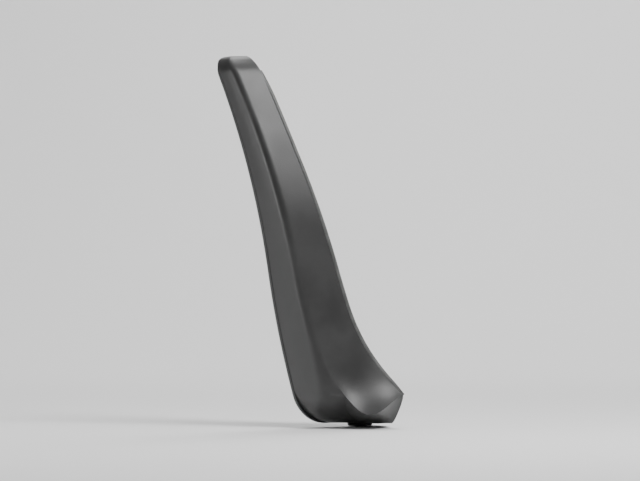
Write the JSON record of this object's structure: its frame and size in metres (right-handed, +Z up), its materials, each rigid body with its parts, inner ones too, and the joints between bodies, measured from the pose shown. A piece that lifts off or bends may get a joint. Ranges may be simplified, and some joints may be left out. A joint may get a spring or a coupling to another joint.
{
  "type": "mud flap",
  "caption": "Moulded splash guard for a left rear wheel arch: leaning outboard band, fairing with a scooped foot, arch screws, push rivets and an edge seal.",
  "frame": {"origin": "on the middle screw's axis, in the plane of the mounting face where the guard meets the wheel arch flange", "axes": "+X rearwards, +Y inboard (towards the car's centre line), +Z up, as fitted to the left rear wheel arch"},
  "size_m": [0.1049, 0.1143, 0.2657],
  "materials": {
    "moulding": "satin black, finely grained",
    "seal": "matte",
    "foam": "closed-cell foam",
    "zinc_black": "black zinc plating",
    "zinc": "bright zinc plating",
    "nylon": "moulded nylon",
    "spring_steel": "phosphated spring steel"
  },
  "bodies": {
    "guard": {"splash_guard": "moulding", "edge_seal": "seal", "foam_strip_upper": "foam", "foam_strip_lower": "foam", "spring_nut_sill": "spring_steel", "sleeve_upper": "zinc", "washer_upper": "zinc_black", "screw_upper": "zinc_black", "sleeve_middle": "zinc", "washer_middle": "zinc_black", "screw_middle": "zinc_black", "sleeve_lower": "zinc", "washer_lower": "zinc_black", "screw_lower": "zinc_black", "rivet_body_flap": "nylon", "rivet_body_liner": "nylon", "rivet_body_sill": "nylon"},
    "pin_flap": {"rivet_pin_flap": "nylon"},
    "pin_liner": {"rivet_pin_liner": "nylon"},
    "pin_sill": {"rivet_pin_sill": "nylon"}
  },
  "joints": [
    {"name": "pin_flap_slide", "type": "slide", "parent": "guard", "child": "pin_flap", "axis": [-0.9963, 0, -0.0864], "range_m": [0, 0.008]},
    {"name": "pin_liner_slide", "type": "slide", "parent": "guard", "child": "pin_liner", "axis": [-0.9816, 0, -0.1909], "range_m": [0, 0.008]},
    {"name": "pin_sill_slide", "type": "slide", "parent": "guard", "child": "pin_sill", "axis": [0, 0, -1], "range_m": [0, 0.008]}
  ]
}
